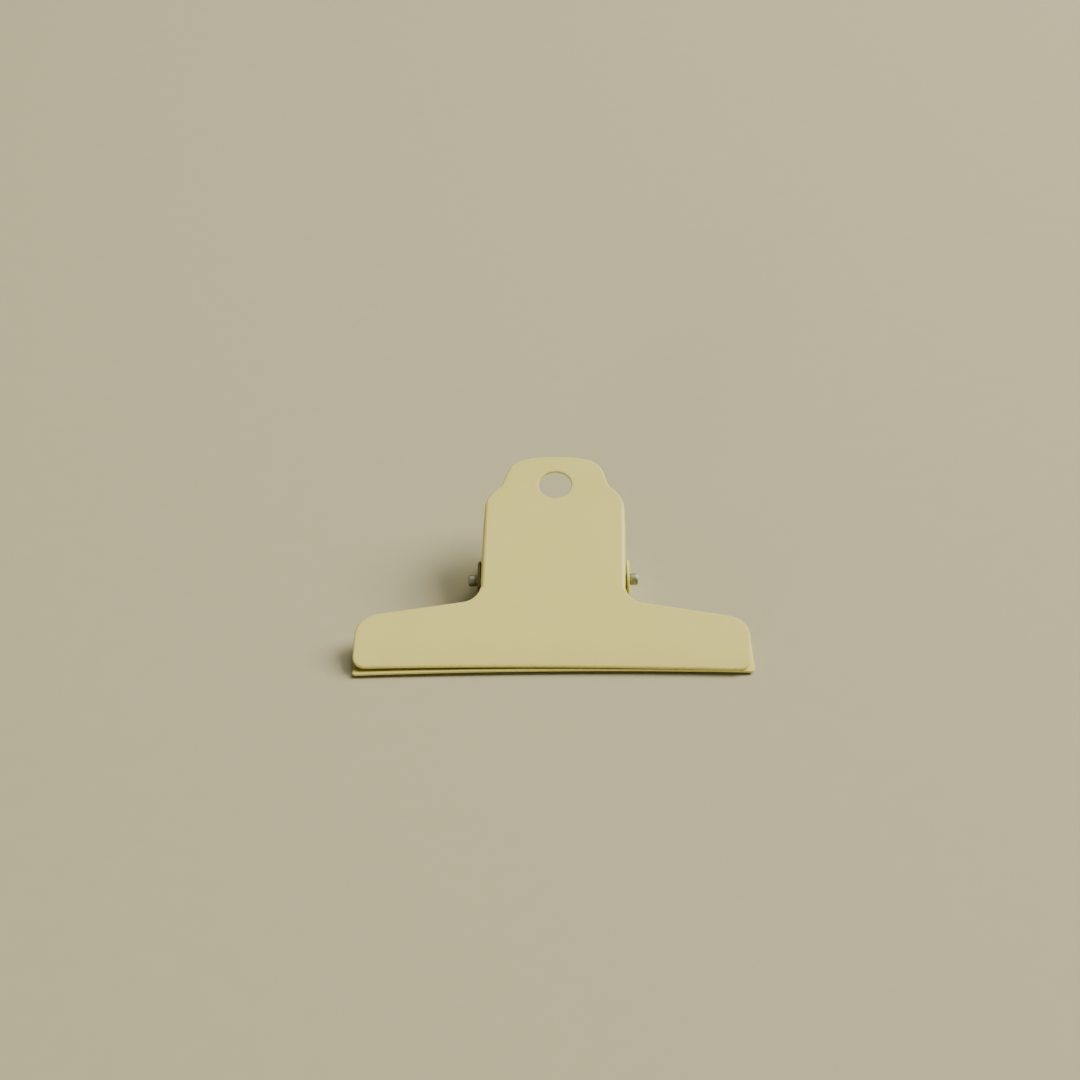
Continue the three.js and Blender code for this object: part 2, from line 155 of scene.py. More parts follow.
def distance_to(contour: np.ndarray, points: np.ndarray) -> np.ndarray:
    """How far each point lies from a closed contour."""
    nearest = np.full(len(points), np.inf)
    for start, end in zip(contour, np.roll(contour, -1, axis=0)):
        side = end - start
        share = np.clip(((points - start) @ side) / (side @ side), 0, 1)
        apart = points - start - share[:, None] * side
        nearest = np.minimum(nearest, np.hypot(apart[:, 0], apart[:, 1]))
    return nearest


def inside_of(contour: np.ndarray, points: np.ndarray) -> np.ndarray:
    """Whether each point lies inside a closed contour."""
    inside = np.zeros(len(points), bool)
    for start, end in zip(contour, np.roll(contour, -1, axis=0)):
        spans = (start[1] > points[:, 1]) != (end[1] > points[:, 1])
        if not spans.any():
            continue
        share = (points[spans, 1] - start[1]) / (end[1] - start[1])
        crossing = start[0] + share * (end[0] - start[0])
        inside[spans] ^= points[spans, 0] < crossing
    return inside


def ramp(value: np.ndarray, start: float, end: float) -> np.ndarray:
    """A smooth rise from 0 at start to 1 at end."""
    share = np.clip((value - start) / (end - start), 0, 1)
    return share * share * (3 - 2 * share)


def make_object(name: str, points: np.ndarray, faces: Sequence[Sequence[int]]) -> bpy.types.Object:
    """Makes a smooth-shaded mesh object at the origin.

    Args:
        name: The piece's name.
        points: Its points in millimetres.
        faces: Its faces, as rows of point numbers.

    Returns:
        The new object.
    """
    mesh = bpy.data.meshes.new(name)
    mesh.from_pydata((points * MM).tolist(), [], faces)
    mesh.polygons.foreach_set("use_smooth", [True] * len(mesh.polygons))
    mesh.update()
    piece = bpy.data.objects.new(name, mesh)
    bpy.context.scene.collection.objects.link(piece)
    return piece


def lathe(profile: Sequence[tuple[float, float]], segments: int) -> tuple[np.ndarray, list[list[int]]]:
    """Turns a profile round the X axis.

    Args:
        profile: Rows of (place along X, radius), whose first and last lie on the axis.
        segments: Steps round the axis.

    Returns:
        The points and the faces, with the faces pointing outwards.
    """
    points = [(profile[0][0], 0.0, 0.0)]
    for x, radius in profile[1:-1]:
        for k in range(segments):
            angle = 2 * math.pi * k / segments
            points.append((x, radius * math.cos(angle), radius * math.sin(angle)))
    points.append((profile[-1][0], 0.0, 0.0))
    rings = len(profile) - 2
    faces: list[list[int]] = []
    for k in range(segments):
        after = (k + 1) % segments
        faces.append([0, 1 + after, 1 + k])
        for ring in range(rings - 1):
            here, there = 1 + ring * segments, 1 + (ring + 1) * segments
            faces.append([here + k, here + after, there + after, there + k])
        last = 1 + (rings - 1) * segments
        faces.append([last + k, last + after, len(points) - 1])
    return np.array(points), faces


class Side(Enum):
    """Which of the two plates a stamping is made into."""

    BACK = "back"
    FRONT = "front"


@dataclass(frozen=True)
class GridSpacing:
    """How far apart the points that mesh a blank lie, and the gaps left between their bands."""

    flat: float = 1.4
    wall: float = 1.1
    lip: float = 0.8
    fade: float = 0.35
    step: float = 0.3
    fall: float = 0.4
    narrow_gap: float = 0.2
    gap: float = 0.4
    wide_gap: float = 0.6
    wall_gap: float = 1.0
    bend_columns: int = 15
    edge_gap: float = 0.4
    bend_edge_gap: float = 0.12
    merging: float = 1e-5


@dataclass
class StampedPlate:
    """A pressed sheet plate with a wide jaw, a folded handle, two ears and a hanging hole."""

    side: Side
    sheet: float = 0.9
    edge_round: float = 0.55
    burr_round: float = 0.2
    hole_round: float = 0.36
    ear_hole_round: float = 0.55 / 3
    pin_depth: float = frame["joints"][0]["pos_m"][2] / MM
    back_half_jaw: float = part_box("back_plate")[1].x / MM
    back_overhang: float = 0.4
    back_reach: float = 0.8
    pin_to_tip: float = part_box("back_plate")[1].y / MM
    pin_to_jaw: float = 39.5
    front_corner_radius: float = 4.2
    back_corner_radius: float = 1.2
    jaw_edge_hollow: float = 1.0
    wing_end_height: float = 19.2
    wing_root_height: float = 26.2
    wing_corner_radius: float = 8.0
    wing_root_radius: float = 6.5
    lip_length: float = 12.8
    lip_radius: float = 82.0
    lip_ease: float = 0.45
    lip_gap: float = 0.3
    half_handle: float = 23.75
    tip_radius: float = 50.0
    crown_half_width: float = 15.0
    crown_radius: float = 8.0
    neck_half_width: float = 18.2
    neck_drop: float = 12.6
    neck_radius: float = 5.0
    shoulder_drop: float = 17.4
    shoulder_radius: float = 13.5
    hang_hole_drop: float = 12.2
    hang_hole_radius: float = 5.6
    ear_radius: float = 6.4
    ear_hole_radius: float = 1.9
    ear_clearance: float = 0.4
    bend_radius: float = 1.5
    flange_depth: float = 2.7
    flange_fade: float = 3.0
    flange_fall: float = 8.0
    flange_taper: float = 4.0
    flat_below_hole: float = 0.2
    flange_fillet: float = 0.9
    ear_step_run: float = 2.6
    ear_step_share: float = 0.25
    front_turn: float = math.radians(0.9)
    crown_arc: float = 9.5
    crown_points: int = 20
    arc_step: float = math.radians(6)
    outline_spacing: float = 0.9
    fewest_hole_sides: int = 40
    hole_sides_per_radius: int = 16
    rim_steps: int = 5
    edge_fade: float = 0.5
    # Where the painted shade on the left ear's rim fades out, measured from the ear's middle.
    painted_ear_shade_start: float = 6.2
    painted_ear_shade_end: float = 9.0
    spacing: GridSpacing = GridSpacing()

    @property
    def turn(self) -> float:
        """How far the plate hangs out of square on its pin."""
        return self.front_turn if self.side is Side.FRONT else 0.0

    @property
    def front_half_jaw(self) -> float:
        """Half the width of the front jaw."""
        return self.back_half_jaw - self.back_overhang

    @property
    def half_jaw(self) -> float:
        """Half the width of this plate's jaw."""
        return self.front_half_jaw if self.side is Side.FRONT else self.back_half_jaw

    @property
    def jaw_corner_radius(self) -> float:
        """Radius of this plate's two jaw corners."""
        return self.front_corner_radius if self.side is Side.FRONT else self.back_corner_radius

    @property
    def ear_step(self) -> float:
        """How far the ears step outwards."""
        return self.sheet + self.ear_clearance if self.side is Side.BACK else 0.0

    @property
    def fold_line(self) -> float:
        """Where the handle's sides begin to fold, out from the middle."""
        return self.half_handle - self.bend_radius

    @property
    def bend_neutral(self) -> float:
        """Radius of the fold at the middle of the sheet."""
        return self.bend_radius - self.sheet / 2

    @property
    def bend_length(self) -> float:
        """Length of the fold, on the flat blank."""
        return self.bend_neutral * math.pi / 2

    @property
    def jaw_edge(self) -> float:
        """Place of the jaw edge, along the plate."""
        return -self.pin_to_jaw

    @property
    def own_edge(self) -> float:
        """Place of this plate's jaw edge: the back jaw reaches out past the front one."""
        return self.jaw_edge - (self.back_reach if self.side is Side.BACK else 0.0)

    @property
    def flange_start(self) -> float:
        """Where the sides begin to fold, on the jaw's side of the pin."""
        return -self.ear_radius - self.flange_fade

    @property
    def flange_end(self) -> float:
        """Where the sides have gone flat again, under the handle's tip."""
        return self.pin_to_tip - self.hang_hole_drop - self.hang_hole_radius - self.flat_below_hole

    @property
    def jaw_angle(self) -> float:
        """Angle between the two plates, with their lips the gap apart."""
        angle = (self.lip_length - self.jaw_edge_hollow) / self.lip_radius
        inner = self.lip_radius - self.sheet
        reach = self.pin_to_jaw - self.lip_length + inner * math.sin(angle)
        depth = self.pin_depth - (self.lip_radius - inner * math.cos(angle))
        return 2 * (math.acos(self.lip_gap / 2 / math.hypot(depth, reach)) - math.atan2(reach, depth))

    def developed(self, depth: float) -> float:
        """Distance out from the fold line, on the blank, of what lies this deep when folded."""
        return self.bend_length + depth - self.bend_radius

    def tip_height(self, x: float) -> float:
        """Height of the handle's arched tip at this distance from the middle."""
        return self.pin_to_tip - self.tip_radius + math.sqrt(self.tip_radius**2 - x**2)

    def blank_outline(self) -> np.ndarray:
        """The flat blank's outline, anticlockwise, from the jaw's right-hand corner."""
        flange_edge = self.fold_line + self.developed(self.flange_depth)
        ear_tip = self.fold_line + self.developed(self.pin_depth) + self.ear_radius
        fall = self.flange_end - self.flange_fall
        right = [
            Corner(self.half_jaw, self.own_edge, self.jaw_corner_radius),
            Corner(self.half_jaw, self.jaw_edge + self.wing_end_height, self.wing_corner_radius),
            Corner(self.half_handle, self.jaw_edge + self.wing_root_height, self.wing_root_radius),
            Corner(self.half_handle, -self.ear_radius, self.flange_fillet),
            Corner(ear_tip, -self.ear_radius, self.ear_radius),
            Corner(ear_tip, self.ear_radius, self.ear_radius),
            Corner(flange_edge, self.ear_radius, self.flange_fillet),
            Corner(flange_edge, fall - self.flange_taper, self.flange_taper),
            Corner(self.half_handle, fall, self.flange_taper),
            Corner(self.half_handle, self.pin_to_tip - self.shoulder_drop, self.shoulder_radius),
            Corner(self.neck_half_width, self.pin_to_tip - self.neck_drop, self.neck_radius),
            Corner(self.crown_half_width, self.tip_height(self.crown_half_width), self.crown_radius),
        ]
        across = np.linspace(self.crown_arc, -self.crown_arc, self.crown_points)
        crown = [Corner(x, self.tip_height(x)) for x in across]
        left = [Corner(-c.x, c.y, c.radius) for c in reversed(right)]
        return spaced(rounded_outline([*right, *crown, *left], self.arc_step), self.outline_spacing)

    def holes(self) -> list[tuple[np.ndarray, float]]:
        """The blank's holes, clockwise, each with the rounding of its rim."""
        places = [(0.0, self.pin_to_tip - self.hang_hole_drop, self.hang_hole_radius, self.hole_round)]
        reach = self.fold_line + self.developed(self.pin_depth)
        for side in (-1, 1):
            slip = -side * (self.half_handle - self.sheet / 2) * math.tan(self.turn)
            places.append((side * reach, slip, self.ear_hole_radius, self.ear_hole_round))
        made = []
        for x, y, radius, rim in places:
            sides = max(self.fewest_hole_sides, int(radius * self.hole_sides_per_radius))
            angles = -np.linspace(0, 2 * math.pi, sides, endpoint=False)
            contour = np.stack([x + radius * np.cos(angles), y + radius * np.sin(angles)], axis=1)
            made.append((contour, rim))
        return made

    def grid(self) -> np.ndarray:
        """Points to mesh the blank with: close together where it is folded or curled."""
        fold, bend, gaps = self.fold_line, self.bend_length, self.spacing
        half = np.concatenate([
            np.arange(0, fold - gaps.wide_gap, gaps.flat),
            np.linspace(fold - gaps.gap, fold + bend + gaps.gap, gaps.bend_columns),
            np.arange(fold + bend + gaps.flat, self.half_jaw, gaps.flat),
        ])
        across = np.concatenate([-half[:0:-1], half])
        lip_end = self.jaw_edge + self.lip_length
        step_end = self.ear_radius + self.ear_step_run
        fall = self.flange_end - self.flange_fall
        bands = (
            (self.own_edge + gaps.narrow_gap, lip_end, gaps.lip),
            (lip_end, self.flange_start - gaps.wide_gap, gaps.flat),
            (self.flange_start - gaps.gap, -self.ear_radius + gaps.gap, gaps.fade),
            (-self.ear_radius + gaps.wall_gap, self.ear_radius - gaps.wide_gap, gaps.wall),
            (self.ear_radius - gaps.narrow_gap, step_end + gaps.step, gaps.step),
            (step_end + gaps.wall_gap, fall - gaps.wide_gap, gaps.wall),
            (fall - gaps.narrow_gap, self.flange_end + gaps.gap, gaps.fall),
            (self.flange_end + gaps.flat, self.pin_to_tip, gaps.flat),
        )
        along = np.concatenate([np.arange(*band) for band in bands])
        x, y = np.meshgrid(across, along)
        return np.stack([x.ravel(), y.ravel()], axis=1)

    def fold_angle(self, y: np.ndarray) -> np.ndarray:
        """How far the sides are folded at this distance from the pin."""
        risen = ramp(y, self.flange_start, self.flange_start + self.flange_fade)
        fallen = ramp(y, self.flange_end - self.flange_fall, self.flange_end)
        return math.pi / 2 * risen * (1 - fallen)

    def ear_window(self, y: np.ndarray) -> np.ndarray:
        """Share of the ears' outward step that the sides have taken at this place."""
        risen = ramp(y, self.flange_start, -self.ear_radius)
        return risen * (1 - ramp(y, self.ear_radius, self.ear_radius + self.ear_step_run))

    def press(self, flat: np.ndarray, depth: np.ndarray) -> np.ndarray:
        """Presses the flat blank: draws in its jaw edge, folds its sides, curls its lip.

        Args:
            flat: Points of the flat blank.
            depth: How deep each lies in the sheet, from its outer face.

        Returns:
            The points on the pressed plate, with Z the depth under the outer face.
        """
        x, y, z = flat[:, 0].copy(), flat[:, 1].copy(), depth.copy()
        lip_start = self.jaw_edge + self.lip_length
        middle = 1 - (x / self.front_half_jaw) ** 2
        y += self.jaw_edge_hollow * middle * (1 - ramp(y, self.jaw_edge, lip_start))
        side = np.sign(x)
        out = np.abs(x) - self.fold_line
        inner = self.bend_radius - z
        widened = ramp(out, -self.half_handle * self.ear_step_share, 0)
        spread = side * self.ear_step * self.ear_window(y) * widened
        folded = out > 0
        angle = np.minimum(self.fold_angle(y), out / self.bend_neutral)
        beyond = out - angle * self.bend_neutral
        fold_x = side * (self.fold_line + inner * np.sin(angle) + beyond * np.cos(angle))
        fold_z = self.bend_radius - inner * np.cos(angle) + beyond * np.sin(angle)
        x = np.where(folded, fold_x, x) + spread
        z = np.where(folded, fold_z, z)
        curled = y < lip_start
        radius = self.lip_radius / (1 - self.lip_ease * (1 - middle))
        angle = (lip_start - y) / radius
        inward = radius - z
        curl_y = lip_start - inward * np.sin(angle)
        curl_z = radius - inward * np.cos(angle)
        return np.stack([x, np.where(curled, curl_y, y), np.where(curled, curl_z, z)], axis=1)

    def place(self, points: np.ndarray) -> np.ndarray:
        """Moves points of the pressed plate to where the clip holds them."""
        if self.side is Side.BACK:
            return points
        turn = Matrix.Rotation(self.turn, 4, "Z")
        face_up = Matrix.Translation((0, 0, self.pin_depth)) @ Matrix.Rotation(math.pi, 4, "Y")
        tilt = Matrix.Translation((0, 0, self.pin_depth)) @ Matrix.Rotation(self.jaw_angle, 4, "X")
        matrix = np.array(tilt @ face_up @ turn)
        return points @ matrix[:3, :3].T + matrix[:3, 3]

    def flat_mesh(self, insets: Sequence[np.ndarray]) -> tuple[np.ndarray, np.ndarray, list[list[int]]]:
        """Meshes the flat of the blank.

        Args:
            insets: Where the rounding of the outline begins, and then that of each hole.

        Returns:
            The points, the triangles, and for each inset the numbers of its points.
        """
        grid = self.grid()
        kept = inside_of(insets[0], grid)
        apart = distance_to(insets[0], grid)
        for hole in insets[1:]:
            kept &= ~inside_of(hole, grid)
            apart = np.minimum(apart, distance_to(hole, grid))
        bent = np.abs(np.abs(grid[:, 0]) - self.fold_line - self.bend_length / 2) < self.bend_length
        grid = grid[kept & (apart > np.where(bent, self.spacing.bend_edge_gap, self.spacing.edge_gap))]
        loops, start = [], 0
        for contour in insets:
            loops.append(list(range(start, start + len(contour))))
            start += len(contour)
        edges = [edge for loop in loops for edge in zip(loop, loop[1:] + loop[:1])]
        flat = [Vector(point) for point in np.concatenate([*insets, grid]).tolist()]
        found, _, triangles, merged, *_ = delaunay_2d_cdt(
            flat, edges, loops[:1], 1, self.spacing.merging
        )
        corners = np.array([(v.x, v.y) for v in found])
        renamed = {old: new for new, olds in enumerate(merged) for old in olds}
        triangles = np.array(triangles)
        middles = corners[triangles].mean(1)
        solid = np.ones(len(triangles), bool)
        for hole in insets[1:]:
            solid &= ~inside_of(hole, middles)
        return corners, triangles[solid], [[renamed[k] for k in loop] for loop in loops]

    def rim_profile(self, rim: float) -> list[tuple[float, float]]:
        """The section of an edge, from the outer face round to the inner one.

        Args:
            rim: The rounding on the outer side. The burr's side has its own.

        Returns:
            Rows of (place in from the cut, depth in the sheet).
        """
        quarter = np.linspace(0, math.pi / 2, self.rim_steps + 1)[1:]
        burr = min(self.burr_round, rim)
        outer = [(rim * (1 - math.sin(a)), rim * (1 - math.cos(a))) for a in quarter]
        inner = [(burr * (1 - math.sin(a)), self.sheet - burr * (1 - math.cos(a))) for a in quarter]
        return [*outer, *reversed(inner), ((burr + rim) / 2, self.sheet)]

    def build(self) -> bpy.types.Object:
        """Meshes the blank, gives it the sheet's thickness and rounded edges, and presses it.

        Returns:
            The plate, with two attributes: one fades from 1 at its edges to 0 inside, the other is 1
                where painted shade darkens the rim of the left ear.
        """
        rims = [(self.blank_outline(), self.edge_round), *self.holes()]
        insets = [contour + material_side(contour) * rim for contour, rim in rims]
        corners, triangles, loops = self.flat_mesh(insets)
        count = len(corners)
        apart = np.min([distance_to(contour, corners) for contour, _ in rims], axis=0)
        fade = np.exp(-np.maximum(apart - self.edge_round, 0) / self.edge_fade)
        points = [corners, corners]
        depths = [np.zeros(count), np.full(count, self.sheet)]
        fades = [fade, fade]
        faces = [list(t[::-1]) for t in triangles.tolist()]
        faces += [[count + k for k in t] for t in triangles.tolist()]
        total = 2 * count
        for loop, (contour, rim) in zip(loops, rims):
            normals = material_side(contour)
            length = len(contour)
            rows = [loop]
            for off, deep in self.rim_profile(rim):
                points.append(contour + normals * off)
                depths.append(np.full(length, deep))
                fades.append(np.ones(length))
                rows.append(list(range(total, total + length)))
                total += length
            rows.append([count + k for k in loop])
            for here, there in zip(rows, rows[1:]):
                for k in range(length):
                    after = (k + 1) % length
                    faces.append([here[k], here[after], there[after], there[k]])
        pressed = self.place(self.press(np.concatenate(points), np.concatenate(depths)))
        piece = make_object(f"{self.side.value}_plate_finished", pressed, faces)
        fade = np.concatenate(fades)
        # Painted shade: darkens the rim of the back plate's left ear, where the handle shades it from
        # the light.
        from_ear = np.hypot(pressed[:, 0] + self.half_handle + self.sheet, pressed[:, 1])
        near = 1 - ramp(from_ear, self.painted_ear_shade_start, self.painted_ear_shade_end)
        painted_ear_shade = fade * near if self.side is Side.BACK else np.zeros_like(fade)
        for name, values in (("edge", fade), ("painted_ear_shade", painted_ear_shade)):
            held = piece.data.attributes.new(name, "FLOAT", "POINT")
            held.data.foreach_set("value", values.astype(np.float32))
        return piece


@dataclass
class HingePin:
    """The steel pin: a plain shank with a rounded head past each outer ear."""

    shank_radius: float = 1.6
    head_radius: float = 1.95
    head_length: float = 2.65
    head_round: float = 0.6
    head_round_steps: int = 8
    head_bevel: float = 0.1
    collar_radius: float = 1.8
    collar_start: float = 0.6
    collar_end: float = 0.2
    collar_bevel: float = 0.1
    groove_start: float = 0.12
    groove_end: float = 0.02
    dimple_radius: float = 0.5
    dimple_floor_radius: float = 0.3
    dimple_depth: float = 0.14
    dimple_bevel: float = 0.02
    height: float = frame["joints"][0]["pos_m"][2] / MM
    left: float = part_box("hinge_pin")[0].x / MM
    right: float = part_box("hinge_pin")[1].x / MM
    segments: int = 72

    def profile(self) -> list[tuple[float, float]]:
        """The pin's profile, from its left end to its right end."""
        middle, half = (self.left + self.right) / 2, (self.right - self.left) / 2
        head = half - self.head_length
        shank, collar, bevel = self.shank_radius, self.collar_radius, self.head_bevel
        end = [(0.0, shank), (head - self.collar_start, shank)]
        end += [(head - self.collar_start + self.collar_bevel, collar), (head - self.collar_end, collar)]
        end += [(head - self.groove_start, shank), (head + self.groove_end, shank)]
        end += [(head + bevel, self.head_radius - bevel), (head + 2 * bevel, self.head_radius)]
        for k in range(self.head_round_steps + 1):
            angle = math.pi / 2 * k / self.head_round_steps
            radius = self.head_radius - self.head_round * (1 - math.cos(angle))
            end.append((half - self.head_round * (1 - math.sin(angle)), radius))
        end.append((half - self.dimple_bevel, self.dimple_radius))
        end.append((half - self.dimple_depth + self.dimple_bevel, self.dimple_floor_radius))
        end.append((half - self.dimple_depth, 0.0))
        right = [(middle + x, radius) for x, radius in end]
        left = [(2 * middle - x, radius) for x, radius in reversed(right)]
        return left[:-1] + right[1:]

    def build(self) -> bpy.types.Object:
        """Turns the pin and lifts it to the hinge's axis."""
        points, faces = lathe(self.profile(), self.segments)
        points[:, 2] += self.height
        return make_object("hinge_pin_finished", points, faces)


@dataclass
class TorsionSpring:
    """The coil on the pin, with one leg under each handle."""

    plate: StampedPlate
    wire_radius: float = 0.8
    coil_radius: float = 3.5
    coil_pitch: float = 2.15
    whole_turns: int = 12
    leg_reach: float = 24.0
    leg_clearance: float = 0.3
    leg_stations: tuple[float, ...] = (0.0, 0.006, 0.3, 0.6, 0.9)
    leg_end_share: float = 0.8
    weld_distance: float = 1e-7
    steps_in_a_turn: int = 56
    sides: int = 18

    @property
    def foot(self) -> tuple[float, float]:
        """Where a leg's foot lies: its distance from the pin's axis and its angle to the plate."""
        depth = self.plate.pin_depth - self.plate.sheet - self.leg_clearance - self.wire_radius
        return math.hypot(self.leg_reach, depth), math.atan2(depth, self.leg_reach)

    @property
    def first_angle(self) -> float:
        """Where the coil begins, round the pin, so that the back leg leaves it straight."""
        distance, leg_angle = self.foot
        return -leg_angle - math.acos(self.coil_radius / distance)

    @property
    def sweep(self) -> float:
        """How far the coil winds, so that the front leg leaves it straight as well."""
        return 2 * self.first_angle - self.plate.jaw_angle + 2 * math.pi * self.whole_turns

    @property
    def half_coil(self) -> float:
        """Half the coil's length along the pin."""
        return self.coil_pitch * self.sweep / (2 * math.pi) / 2

    def path(self) -> np.ndarray:
        """The middle of the wire: up one leg, round the coil and out along the other leg."""
        distance, leg_angle = self.foot
        steps = round(self.steps_in_a_turn * self.sweep / (2 * math.pi))
        share = np.linspace(0, 1, steps + 1)
        angle = self.first_angle - self.sweep * share
        coil = np.stack([
            self.half_coil * (2 * share - 1),
            self.coil_radius * np.cos(angle),
            self.coil_radius * np.sin(angle),
        ], axis=1)
        feet = []
        front_leg_angle = self.plate.jaw_angle + leg_angle
        for x, turn in ((-self.half_coil, -leg_angle), (self.half_coil, front_leg_angle)):
            foot = np.array([x, distance * math.cos(turn), distance * math.sin(turn)])
            coil_end = coil[0] if x < 0 else coil[-1]
            feet.append([foot + (coil_end - foot) * share for share in self.leg_stations])
        path = np.concatenate([feet[0], coil, feet[1][::-1]])
        path[:, 2] += self.plate.pin_depth
        return path

    def wire_tree(self, material: bpy.types.Material) -> bpy.types.NodeTree:
        """Builds the tree that draws a round wire along the path.

        Args:
            material: The wire's finish.

        Returns:
            The Geometry Nodes tree, with inputs for the wire's radius and its sides.
        """
        tree = bpy.data.node_groups.new("wire_on_path", "GeometryNodeTree")
        tree.interface.new_socket("Path", in_out="INPUT", socket_type="NodeSocketGeometry")
        tree.interface.new_socket("Wire Radius", in_out="INPUT", socket_type="NodeSocketFloat")
        tree.interface.new_socket("Sides", in_out="INPUT", socket_type="NodeSocketInt")
        tree.interface.new_socket("Wire", in_out="OUTPUT", socket_type="NodeSocketGeometry")
        given = tree.nodes.new("NodeGroupInput")
        section = tree.nodes.new("GeometryNodeCurvePrimitiveCircle")
        sweep = tree.nodes.new("GeometryNodeCurveToMesh")
        sweep.inputs["Fill Caps"].default_value = True
        smooth = tree.nodes.new("GeometryNodeSetShadeSmooth")
        realize = tree.nodes.new("GeometryNodeRealizeInstances")
        dress = tree.nodes.new("GeometryNodeSetMaterial")
        dress.inputs["Material"].default_value = material
        result = tree.nodes.new("NodeGroupOutput")
        link = tree.links.new
        link(given.outputs["Sides"], section.inputs["Resolution"])
        link(given.outputs["Wire Radius"], section.inputs["Radius"])
        link(given.outputs["Path"], sweep.inputs["Curve"])
        link(section.outputs["Curve"], sweep.inputs["Profile Curve"])
        link(sweep.outputs["Mesh"], smooth.inputs["Geometry"])
        link(smooth.outputs["Geometry"], realize.inputs["Geometry"])
        link(realize.outputs["Geometry"], dress.inputs["Geometry"])
        link(dress.outputs["Geometry"], result.inputs["Wire"])
        return tree

    def build(self, material: bpy.types.Material) -> bpy.types.Object:
        """Sweeps the wire along its path and turns the result into a plain mesh.

        Args:
            material: The wire's finish.

        Returns:
            The spring.
        """
        path = self.path() * MM
        curve = bpy.data.curves.new("spring_path", "CURVE")
        curve.dimensions = "3D"
        spline = curve.splines.new("POLY")
        spline.points.add(len(path) - 1)
        spline.points.foreach_set("co", np.hstack([path, np.ones((len(path), 1))]).ravel())
        radii = np.ones(len(path))
        radii[[0, -1]] = self.leg_end_share
        spline.points.foreach_set("radius", radii)
        guide = bpy.data.objects.new("spring_path", curve)
        bpy.context.scene.collection.objects.link(guide)
        tree = self.wire_tree(material)
        sweep = guide.modifiers.new("wire", "NODES")
        sweep.node_group = tree
        wanted = {"Wire Radius": self.wire_radius * MM, "Sides": self.sides}
        for item in tree.interface.items_tree:
            if item.name in wanted and item.in_out == "INPUT":
                sweep[item.identifier] = wanted[item.name]
        evaluated = guide.evaluated_get(bpy.context.evaluated_depsgraph_get())
        mesh = bpy.data.meshes.new_from_object(evaluated)
        bpy.data.objects.remove(guide)
        mesh.name = "torsion_spring_finished"
        shell = bmesh.new()
        shell.from_mesh(mesh)
        bmesh.ops.remove_doubles(shell, verts=shell.verts, dist=self.weld_distance)
        bmesh.ops.recalc_face_normals(shell, faces=shell.faces)
        shell.to_mesh(mesh)
        shell.free()
        piece = bpy.data.objects.new("torsion_spring_finished", mesh)
        bpy.context.scene.collection.objects.link(piece)
        return piece


Value = Union["Signal", float]
Triple = tuple[float, float, float]
Colour = tuple[float, float, float, float]


class Signal:
    """A node's output socket, on which Python's operators add Math nodes."""

    def __init__(self, graph: "ShaderGraph", socket: bpy.types.NodeSocket) -> None:
        """Wraps a socket of the graph."""
        self.graph = graph
        self.socket = socket

    def _math(self, operation: str, first: Value, second: Value) -> "Signal":
        """Adds a Math node on two values."""
        node = self.graph.node("ShaderNodeMath", {"operation": operation}, {0: first, 1: second})
        return Signal(self.graph, node.outputs[0])

    def __add__(self, other: Value) -> "Signal":
        """Sum of this and other."""
        return self._math("ADD", self, other)

    __radd__ = __add__

    def __sub__(self, other: Value) -> "Signal":
        """This less other."""
        return self._math("SUBTRACT", self, other)

    def __rsub__(self, other: Value) -> "Signal":
        """Other less this."""
        return self._math("SUBTRACT", other, self)

    def __mul__(self, other: Value) -> "Signal":
        """Product of this and other."""
        return self._math("MULTIPLY", self, other)

    __rmul__ = __mul__

    def above(self, start: float, end: float) -> "Signal":
        """A rise from 0 at start to 1 at end, held between 0 and 1."""
        node = self.graph.node(
            "ShaderNodeMapRange",
            {"interpolation_type": "SMOOTHSTEP"},
            {"Value": self, "From Min": start, "From Max": end},
        )
        return Signal(self.graph, node.outputs["Result"])


